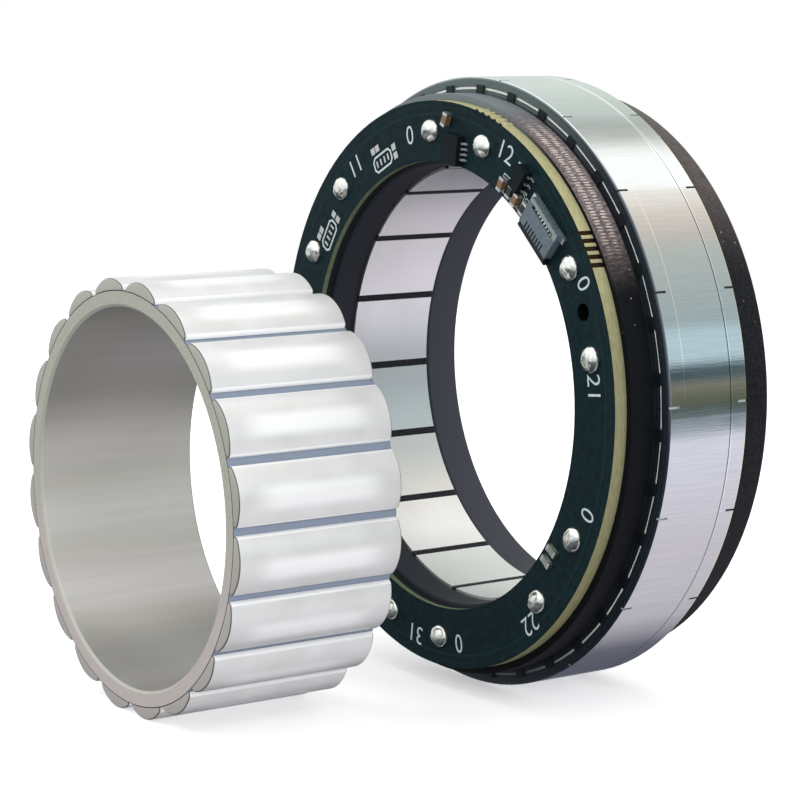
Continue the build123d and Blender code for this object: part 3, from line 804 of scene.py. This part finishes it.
def piece_from(shape: bmesh.types.BMesh, name: str, limit: float = 35.0) -> bpy.types.Object:
    """Make a piece of a finished shape, in metres, with its place in its mesh.

    Args:
        shape: the shape in millimetres, which is freed.
        name: the piece's name.
        limit: edges that turn by more than this, in degrees, stay sharp.

    Returns:
        The new object.
    """
    bmesh.ops.recalc_face_normals(shape, faces=shape.faces)
    shade(shape, limit)
    bmesh.ops.scale(shape, vec=(MM, MM, MM), verts=shape.verts)
    mesh = bpy.data.meshes.new(name)
    shape.to_mesh(mesh)
    shape.free()
    obj = bpy.data.objects.new(name, mesh)
    bpy.context.scene.collection.objects.link(obj)
    return obj


def spun_ring(profile: Sequence[tuple[float, float]], steps: int) -> bmesh.types.BMesh:
    """Spin a closed profile round the Y axis.

    Args:
        profile: radius and height of each corner, in millimetres.
        steps: number of steps in the full turn.

    Returns:
        The ring's shape.
    """
    shape = bmesh.new()
    corners = [shape.verts.new((0.0, height, radius)) for radius, height in profile]
    rim = [shape.edges.new((a, b)) for a, b in zip(corners, corners[1:] + corners[:1])]
    bmesh.ops.spin(shape, geom=corners + rim, cent=(0.0, 0.0, 0.0), axis=(0.0, 1.0, 0.0),
                   dvec=(0.0, 0.0, 0.0), angle=math.tau, steps=steps, use_merge=True, use_duplicate=False)
    return shape


def ring_edges(shape: bmesh.types.BMesh, radius: float, height: float) -> list[bmesh.types.BMEdge]:
    """Find the edges that run round the Y axis.

    Args:
        shape: the shape, in millimetres.
        radius: their distance from the axis.
        height: their place along it.

    Returns:
        The edges.
    """
    def on_line(vert: bmesh.types.BMVert) -> bool:
        """Tell whether a corner lies at that radius and height."""
        off = abs(math.hypot(vert.co.x, vert.co.z) - radius)
        return off < NEAR and abs(vert.co.y - height) < NEAR
    return [edge for edge in shape.edges if all(on_line(vert) for vert in edge.verts)]


@dataclass
class Dresser:
    """Keeps the finishes that are in use and gives them to nodes and pieces."""

    built: dict[Finishes, bpy.types.Material] = field(default_factory=dict)

    def dress(self, obj: bpy.types.Object, finish: Finishes) -> None:
        """Give every material slot of an object one finish.

        Args:
            obj: the object.
            finish: its finish, which is built when it is first asked for.
        """
        if finish not in self.built:
            self.built[finish] = finish.value.material()
        material = self.built[finish]
        if not obj.material_slots:
            obj.data.materials.append(material)
        for slot in obj.material_slots:
            slot.material = material

    def add(self, obj: bpy.types.Object, finish: Finishes, body: str, *replaced: str) -> bpy.types.Object:
        """Dress a new piece, put it on its body and hide the nodes that it stands for.

        Args:
            obj: the new piece.
            finish: its finish.
            body: the body that it rides on.
            replaced: the CAD nodes that it stands for, if any.

        Returns:
            The piece.
        """
        self.dress(obj, finish)
        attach(obj, body)
        if replaced:
            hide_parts(*replaced)
        log.info("made %s, %d faces", obj.name, len(obj.data.polygons))
        return obj


# Studio


@dataclass
class Studio:
    """The pale floor, the soft lights and the camera at the photograph's viewing angle."""

    eye: tuple[float, float, float] = (236.18, -176.51, 39.65)
    forward: tuple[float, float, float] = (-0.81797, 0.55760, -0.14148)
    lens: float = 114.86
    sensor: float = 36.0
    floor_radius: float = 450.0
    strength: float = 1.45
    # Soft lights: name, direction seen from the object, distance and size in millimetres, and watts.
    softboxes: tuple[tuple[str, tuple[float, float, float], float, tuple[float, float], float], ...] = (
        ("softbox_over", (0.027, 0.64, 0.768), 600.0, (150.0, 500.0), 0.3),
        ("softbox_front", (-0.15, -0.60, 0.78), 700.0, (500.0, 500.0), 1.1),
        ("softbox_side", (0.95, 0.15, 0.3), 600.0, (300.0, 400.0), 0.72))
    # The room behind the object as steel mirrors it, by the angle from straight up, clockwise: a grey
    # ceiling, a bright strip, a warm wall and a cool one, a dark line and an olive one at the horizon,
    # and a pale ground.
    room: tuple[tuple[float, str], ...] = (
        (-172.0, "#B4AEB8"), (-148.0, "#5A5B67"), (-118.0, "#4A4C58"), (-104.0, "#B4B8B7"),
        (-60.0, "#C9D1CC"), (-32.0, "#BEC5C1"), (-25.0, "#A8ACA9"), (-17.0, "#BBBBB6"), (-9.0, "#F6F6F4"),
        (-4.0, "#FFFFFF"),
        (7.0, "#FFFFFF"), (14.0, "#E9E2DC"), (20.0, "#D8CDC5"), (31.0, "#C2B9B3"), (38.0, "#B0B5B2"),
        (66.0, "#98A4A8"), (69.0, "#B1C5CE"), (80.5, "#B1C5CE"), (82.0, "#34444C"), (87.5, "#40525A"),
        (89.0, "#8E8879"), (92.0, "#5C5F50"), (99.0, "#434D47"), (101.5, "#6D7A82"), (106.5, "#7E8A92"),
        (108.5, "#D6D4E1"), (128.0, "#CDC9D5"), (150.0, "#C4BDC7"), (176.0, "#BBB5BE"))
    front: tuple[tuple[float, str], ...] = (
        (0.0, "#2C2E33"), (0.38, "#5E6266"), (0.46, "#B9BCBE"), (0.62, "#D5D7D8"), (0.8, "#FFFFFF"))
    shade: tuple[tuple[float, str], ...] = (
        (0.0, "#3C3D40"), (0.25, "#949597"), (0.5, "#FBFBFB"), (0.75, "#CCCCCC"), (1.0, "#ACACAB"))

    def build(self) -> None:
        """Make everything that isn't part of the object."""
        self._world()
        self._floor()
        for softbox in self.softboxes:
            self._softbox(*softbox)
        camera = bpy.data.cameras.new("camera")
        camera.lens = self.lens
        camera.sensor_width = self.sensor
        camera.clip_start = 0.01
        holder = bpy.data.objects.new("camera", camera)
        holder.location = Vector(self.eye) * MM
        holder.rotation_euler = Vector(self.forward).to_track_quat("-Z", "Y").to_euler()
        bpy.context.scene.collection.objects.link(holder)
        bpy.context.scene.camera = holder
        bpy.context.scene.view_settings.view_transform = "Standard"

    def _world(self) -> None:
        """The room that the object mirrors, light from above for its shading, and white for the camera."""
        world = bpy.data.worlds.new("studio")
        world.use_nodes = True
        bpy.context.scene.world = world
        tree = world.node_tree
        tree.nodes.clear()
        direction = add_node(tree, "ShaderNodeTexCoord").outputs["Generated"]
        x, y, z = add_node(tree, "ShaderNodeSeparateXYZ", {0: direction}).outputs
        turn = add_node(tree, "ShaderNodeMath", {0: x, 1: z}, operation="ARCTAN2")
        share = add_node(tree, "ShaderNodeMapRange", {
            "Value": turn, "From Min": -math.pi, "From Max": math.pi})
        room = add_node(tree, "ShaderNodeValToRGB", {"Fac": share},
                        stops=[((angle + 180.0) / 360.0, code) for angle, code in self.room])
        rise = add_node(tree, "ShaderNodeMapRange", {"Value": z, "From Min": -1.0, "From Max": 1.0})
        front = add_node(tree, "ShaderNodeValToRGB", {"Fac": rise}, stops=self.front)
        behind = add_node(tree, "ShaderNodeMapRange", {"Value": y, "From Min": -0.2, "From Max": 0.05})
        shade_tone = add_node(tree, "ShaderNodeValToRGB", {"Fac": rise}, stops=self.shade)
        paths = add_node(tree, "ShaderNodeLightPath").outputs
        soft = add_node(tree, "ShaderNodeBackground", {"Color": shade_tone, "Strength": self.strength})
        mirrored = add_node(tree, "ShaderNodeBackground", {
            "Color": layered(tree, front, (behind, room)), "Strength": self.strength})
        plain = add_node(tree, "ShaderNodeBackground", {"Color": (1.0, 1.0, 1.0, 1.0), "Strength": 1.0})
        lit = add_node(tree, "ShaderNodeMixShader", {0: paths["Is Glossy Ray"], 1: soft, 2: mirrored})
        seen = add_node(tree, "ShaderNodeMixShader", {0: paths["Is Camera Ray"], 1: lit, 2: plain})
        add_node(tree, "ShaderNodeOutputWorld", {"Surface": seen})

    def _floor(self) -> None:
        """A round sheet of matt white card under both rings."""
        shape = bmesh.new()
        bmesh.ops.create_circle(shape, cap_ends=True, segments=128, radius=self.floor_radius)
        bmesh.ops.translate(shape, verts=shape.verts, vec=(0.0, 0.0, FLOOR_HEIGHT - 0.01))
        floor = piece_from(shape, "floor")
        # Matt card: an even white that takes only a soft shadow.
        card = GrainedFinish("matt_white_card", "", "#FBFBFB", roughness=0.85, glow=0.44, dark="#F8F8F8",
                             grain=6.0, relief=0.0)
        floor.data.materials.append(card.material())
        floor.visible_glossy = False
        floor.visible_diffuse = False

    @staticmethod
    def _softbox(name: str, direction: Sequence[float], distance: float, size: tuple[float, float],
                 power: float) -> None:
        """Hang one rectangular soft light that faces the object, with its long side along the stator's axis.

        Args:
            name: the light's name.
            direction: where it hangs, seen from the object.
            distance: how far off, in millimetres.
            size: its width and length, in millimetres.
            power: in watts.
        """
        away = Vector(direction).normalized()
        length = (Vector((0.0, 1.0, 0.0)) - away * away.y).normalized()
        turned = Matrix((length.cross(away), length, away)).transposed().to_4x4()
        lamp = bpy.data.lights.new(name, "AREA")
        lamp.shape = "RECTANGLE"
        lamp.size = size[0] * MM
        lamp.size_y = size[1] * MM
        lamp.energy = power
        holder = bpy.data.objects.new(name, lamp)
        turned.translation = away * distance * MM
        holder.matrix_world = turned
        holder.visible_camera = False
        holder.visible_glossy = False
        bpy.context.scene.collection.objects.link(holder)


# Stator


@dataclass
class Potting:
    """The two cast rings, with the fine ribs that the mould left on part of the front one."""

    inner: float = 25.2
    outer: float = 33.2
    front: tuple[float, float] = (-6.05, -9.0)
    rear: tuple[float, float] = (6.05, 10.1)
    front_round: float = 0.12
    rear_round: float = 0.5
    bore_round: float = 0.15
    rib_rows: tuple[float, float] = (-8.42, -7.15)
    rib_arc: tuple[float, float] = (24.0, 61.0)
    rib_pitch: float = 0.40
    steps: int = 240

    def build(self, dresser: Dresser) -> None:
        """Make both rings and the ribs.

        Args:
            dresser: gives each piece its finish and its body.
        """
        for name, node, (near, far), size, finish in (
                ("front_potting_cast", "front_potting", self.front, self.front_round, Finishes.POTTING),
                ("rear_potting_cast", "rear_potting", self.rear, self.rear_round, Finishes.REAR_POTTING)):
            shape = spun_ring([(self.inner, near), (self.outer, near), (self.outer, far),
                               (self.inner, far)], self.steps)
            round_edges(shape, ring_edges(shape, self.outer, far), size, 4)
            round_edges(shape, ring_edges(shape, self.inner, far), self.bore_round, 3)
            dresser.add(piece_from(shape, name), finish, "stator", node)
        dresser.add(self._ribs(), Finishes.POTTING, "stator")

    def _ribs(self) -> bpy.types.Object:
        """Short uneven ribs along the axis, in two rows round the upper right of the front ring.

        Returns:
            The ribs as one piece.
        """
        draw = random.Random(7)
        shape = bmesh.new()
        step = math.degrees(self.rib_pitch / self.outer)
        count = int((self.rib_arc[1] - self.rib_arc[0]) / step)
        for row in self.rib_rows:
            for index in range(count):
                fade = min(1.0, index / 12 + 0.3, (count - index) / 12 + 0.3)
                rib = bmesh.new()
                bmesh.ops.create_icosphere(rib, subdivisions=2, radius=0.5)
                bmesh.ops.scale(rib, verts=rib.verts, vec=(
                    0.26 * draw.uniform(0.8, 1.15), 0.30 * fade * draw.uniform(0.7, 1.1),
                    1.1 * draw.uniform(0.75, 1.05)))
                angle = self.rib_arc[0] + step * (index + draw.uniform(-0.12, 0.12))
                place = on_ring(angle, self.outer, row + draw.uniform(-0.08, 0.08))
                gather(shape, rib, place @ Matrix.Rotation(draw.uniform(-0.12, 0.12), 4, "Y"))
        return piece_from(shape, "front_potting_ribs", 80.0)


@dataclass
class Board:
    """The sensor board's own detail: printed numbers and outlines, bare pads, and the soldered coil ends."""

    joint_angles: tuple[float, ...] = (
        -2.0, 18.0, 58.0, 78.0, 118.0, 138.0, 178.0, 198.0, 238.0, 258.0, 298.0, 318.0)
    joint_radius: float = 29.0
    joint_size: tuple[float, float, float] = (1.48, 1.36, 0.95)
    digit_height: float = 3.1
    ink: float = 0.012
    pad: float = 0.03
    # The small chip parts that have a printed outline, by clock angle, on one radius.
    chips: tuple[float, ...] = (38.4, 35.2, 32.05, 28.87)
    chip_radius: float = 27.0
    # Outlines: size along and across the ring, line width, and what is cut off each corner.
    chip_frame: tuple[float, float, float, float] = (1.35, 2.1, 0.1, 0.1)
    place_frame: tuple[float, float, float, float] = (4.0, 2.0, 0.24, 0.5)
    # Bare pads of an unfilled place: a row of narrow ones, and the places of the square ones.
    narrow_pads: tuple[float, ...] = (-1.2, -0.4, 0.4, 1.2)
    square_pads: tuple[tuple[float, float], ...] = ((-1.45, 1.75), (-0.5, 1.75), (2.7, 0.55), (2.7, -0.5))
    labels: tuple[tuple[str, float, float], ...] = (
        ("0", 349.6, 28.7), ("12", 25.8, 30.0), ("11", 325.9, 29.3), ("0", 62.7, 30.2), ("21", 83.9, 28.9),
        ("0", 110.8, 29.8), ("22", 143.2, 30.2), ("0", 170.8, 29.4), ("31", 187.6, 29.8))
    footprints: tuple[tuple[float, float, float], ...] = ((337.0, 27.4, 3.0), (305.4, 27.3, 3.0))

    def build(self, dresser: Dresser) -> None:
        """Make the silk print, the pads and the solder.

        Args:
            dresser: gives each piece its finish and its body.
        """
        silk = bmesh.new()
        for word, angle, radius in self.labels:
            gather(silk, self._digits(word), on_ring(angle, radius, BOARD_FACE))
        for angle, radius, turn in self.footprints:
            gather(silk, self._frame(*self.place_frame), on_ring(angle, radius, BOARD_FACE, turn))
        for angle in self.chips:
            gather(silk, self._frame(*self.chip_frame), on_ring(angle, self.chip_radius, BOARD_FACE))
        dresser.add(piece_from(silk, "silk_print"), Finishes.INK, "stator")
        dresser.add(self._pads(), Finishes.TIN, "stator")
        dresser.add(self._solder(), Finishes.SOLDER, "stator", "solder_joints")

    def _digits(self, word: str) -> bmesh.types.BMesh:
        """Draw a number as a thin print, centred on the origin.

        Args:
            word: the number.

        Returns:
            The print's shape.
        """
        font = bpy.data.curves.new("digits", "FONT")
        font.body = word
        font.size = self.digit_height
        font.extrude = self.ink
        font.offset = -0.02
        font.align_x = "CENTER"
        font.align_y = "CENTER"
        font.resolution_u = 4
        holder = bpy.data.objects.new("digits", font)
        mesh = bpy.data.meshes.new_from_object(holder)
        shape = bmesh.new()
        shape.from_mesh(mesh)
        bmesh.ops.remove_doubles(shape, verts=shape.verts, dist=1e-4)
        bpy.data.objects.remove(holder)
        bpy.data.curves.remove(font)
        bpy.data.meshes.remove(mesh)
        return shape

    def _plate(self, width: float, height: float) -> bmesh.types.BMesh:
        """A bare pad that stands on the board's face with its lower side just in it.

        Args:
            width: its size along the ring.
            height: its size across the ring.

        Returns:
            The pad's shape.
        """
        shape = bmesh.new()
        bmesh.ops.create_cube(shape, size=1.0)
        bmesh.ops.scale(shape, verts=shape.verts, vec=(width, height, self.pad + SUNK))
        bmesh.ops.translate(shape, verts=shape.verts, vec=(0.0, 0.0, (self.pad - SUNK) / 2))
        return shape

    def _frame(self, width: float, height: float, stroke: float, corner: float) -> bmesh.types.BMesh:
        """A printed rectangle with cut corners.

        Args:
            width: its size along the ring.
            height: its size across the ring.
            stroke: its line width.
            corner: how much is cut off each corner.

        Returns:
            The print's shape.
        """
        shape = bmesh.new()
        bmesh.ops.create_grid(shape, x_segments=1, y_segments=1, size=0.5)
        bmesh.ops.scale(shape, verts=shape.verts, vec=(width, height, 1.0))
        bmesh.ops.bevel(shape, geom=shape.verts[:], offset=corner, offset_type="OFFSET", segments=1,
                        profile=0.5, affect="VERTICES", material=-1)
        middle = list(shape.faces)
        bmesh.ops.inset_individual(shape, faces=middle, thickness=stroke, use_even_offset=True)
        bmesh.ops.delete(shape, geom=middle, context="FACES_ONLY")
        bmesh.ops.translate(shape, verts=shape.verts, vec=(0.0, 0.0, -SUNK))
        grown = bmesh.ops.extrude_face_region(shape, geom=list(shape.faces))
        bmesh.ops.translate(shape, verts=[v for v in grown["geom"] if isinstance(v, bmesh.types.BMVert)],
                            vec=(0.0, 0.0, SUNK + self.ink))
        return shape

    def _pads(self) -> bpy.types.Object:
        """Bare tinned pads of two unfilled places.

        Returns:
            The pads as one piece.
        """
        shape = bmesh.new()
        for angle, radius, turn in self.footprints:
            place = on_ring(angle, radius, BOARD_FACE, turn)
            for x in self.narrow_pads:
                gather(shape, self._plate(0.3, 0.8), place @ Matrix.Translation((x, 0.0, 0.0)))
            for x, y in self.square_pads:
                gather(shape, self._plate(0.8, 0.8), place @ Matrix.Translation((x, y, 0.0)))
        return piece_from(shape, "bare_pads")

    def _solder(self) -> bpy.types.Object:
        """Uneven domes of solder, each drawn up round a coil's cut ends.

        Returns:
            The domes as one piece.
        """
        draw = random.Random(11)
        shape = bmesh.new()
        for angle in self.joint_angles:
            dome = bmesh.new()
            bmesh.ops.create_icosphere(dome, subdivisions=4, radius=1.0)
            seed = Vector((draw.uniform(-9, 9), draw.uniform(-9, 9), draw.uniform(-9, 9)))
            for vert in dome.verts:
                lump = noise.cell(vert.co * 2.1 + seed) * 0.5 + noise.noise(vert.co * 1.7 + seed)
                vert.co *= 1.0 + 0.10 * lump * max(0.0, vert.co.z)
            bmesh.ops.smooth_vert(dome, verts=dome.verts, factor=0.5, use_axis_x=True, use_axis_y=True,
                                  use_axis_z=True)
            bmesh.ops.bisect_plane(dome, geom=dome.verts[:] + dome.edges[:] + dome.faces[:],
                                   plane_co=(0.0, 0.0, -0.02), plane_no=(0.0, 0.0, -1.0), clear_outer=True)
            bmesh.ops.holes_fill(dome, edges=[e for e in dome.edges if len(e.link_faces) == 1])
            bmesh.ops.scale(dome, verts=dome.verts, vec=self.joint_size)
            gather(shape, dome, on_ring(angle, self.joint_radius, BOARD_FACE))
        return piece_from(shape, "solder_domes", 60.0)


@dataclass
class Connector:
    """The ribbon connector's contact tongues, which cross its slot."""

    angle: float = 46.3
    radius: float = 28.05
    turn: float = -4.3
    count: int = 8
    pitch: float = 0.5
    slot: float = 1.0
    size: tuple[float, float, float] = (0.2, 0.5, 0.1)
    top: float = 0.9

    def build(self, dresser: Dresser) -> None:
        """Make the row of tongues.

        Args:
            dresser: gives the piece its finish and its body.
        """
        place = on_ring(self.angle, self.radius, BOARD_FACE, self.turn)
        shape = bmesh.new()
        for index in range(self.count):
            tongue = bmesh.new()
            bmesh.ops.create_cube(tongue, size=1.0)
            bmesh.ops.scale(tongue, verts=tongue.verts, vec=self.size)
            along = (index - (self.count - 1) / 2) * self.pitch
            gather(shape, tongue, place @ Matrix.Translation((along, self.slot, self.top - self.size[2] / 2)))
        dresser.add(piece_from(shape, "connector_tongues"), Finishes.TIN, "stator")


# Rotor


@dataclass
class Magnets:
    """Twenty crowned magnets, rounded on every edge but the bonded ones."""

    count: int = 20
    half_width: float = 3.198
    seat: float = 23.05
    crown: float = 24.4
    crown_radius: float = 5.115
    crown_steps: int = 20
    seat_steps: int = 6
    ends: tuple[float, float] = (-45.8, -25.6)
    edge_round: float = 0.26

    def build(self, dresser: Dresser) -> None:
        """Make each magnet and let it stand for its node.

        Args:
            dresser: gives each magnet its finish and its body.
        """
        for index in range(self.count):
            turn = Matrix.Rotation(math.radians(FIRST_MAGNET + index * MAGNET_PITCH), 4, "Y")
            shape = self._magnet()
            shape.transform(Matrix.Translation(ROTOR_AXIS) @ turn)
            number = f"{index + 1:02d}"
            dresser.add(piece_from(shape, f"crowned_magnet_{number}", 30.0), Finishes.MAGNET, "rotor",
                        f"magnet_{number}")

    def _magnet(self) -> bmesh.types.BMesh:
        """Shape one magnet at the top of the ring.

        Returns:
            The magnet, in millimetres about the rotor's axis.
        """
        shape = bmesh.new()
        start, end = self.ends
        arcs = []
        for radius, middle, steps in (
                (self.crown_radius, self.crown - self.crown_radius, self.crown_steps),
                (self.seat, 0.0, self.seat_steps)):
            half = math.asin(self.half_width / radius)
            first = shape.verts.new((-radius * math.sin(half), start, middle + radius * math.cos(half)))
            bmesh.ops.spin(shape, geom=[first], cent=(0.0, start, middle), axis=(0.0, 1.0, 0.0),
                           dvec=(0.0, 0.0, 0.0), angle=2 * half, steps=steps, use_merge=False,
                           use_duplicate=False)
            arcs.append([v for v in shape.verts if not arcs or v not in arcs[0]])
        for side in (min, max):
            shape.edges.new([side(arc, key=lambda v: v.co.x) for arc in arcs])
        bmesh.ops.contextual_create(shape, geom=shape.edges[:])
        grown = bmesh.ops.extrude_face_region(shape, geom=shape.faces[:])
        bmesh.ops.translate(shape, verts=[v for v in grown["geom"] if isinstance(v, bmesh.types.BMVert)],
                            vec=(0.0, end - start, 0.0))
        bmesh.ops.recalc_face_normals(shape, faces=shape.faces)
        sharp = [edge for edge in shape.edges if edge.calc_face_angle(0.0) > math.radians(35)
                 and not all(math.hypot(v.co.x, v.co.z) < self.seat + NEAR for v in edge.verts)]
        round_edges(shape, sharp, self.edge_round, 3)
        return shape


# The whole motor


NODES: dict[Finishes, tuple[str, ...]] = {
    Finishes.STACK: ("stator_core",),
    Finishes.INSULATOR: ("front_insulator", "rear_insulator"),
    Finishes.WEDGE: ("slot_wedges",),
    Finishes.WIRE: ("coil_",),
    Finishes.POTTING: ("front_potting", "rear_potting"),
    Finishes.BOARD: ("sensor_board",),
    Finishes.SOLDER: ("solder_joints",),
    Finishes.TIN: ("sensor_chip_pins", "logic_chip_pins", "chip_end_caps", "connector_contacts",
                   "connector_hold_downs"),
    Finishes.CHIP: ("sensor_chip", "logic_chip"),
    Finishes.CAPACITOR: ("chip_capacitors",),
    Finishes.RESISTOR: ("chip_resistors",),
    Finishes.THERMISTOR: ("thermistors",),
    Finishes.CONNECTOR: ("connector_housing",),
    Finishes.LEVER: ("connector_lever",),
    Finishes.RING: ("rotor_ring",),
    Finishes.MAGNET: ("magnet_",)}


def finish_of(node: str) -> Finishes:
    """Say which finish a carried-over CAD node has: the first whose name, or start of a name, it bears."""
    return next(finish for finish, starts in NODES.items() if node.startswith(starts))


def main() -> None:
    """Load the frame, dress it and say what was made."""
    logging.basicConfig(level=logging.INFO, format="%(message)s")
    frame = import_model()
    Studio().build()
    dresser = Dresser()
    for name, node in frame["nodes"].items():
        dresser.dress(node, finish_of(name))
        log.info("dressed %s", name)
    for part in (Potting(), Board(), Connector(), Magnets()):
        part.build(dresser)


if __name__ == "__main__":
    main()
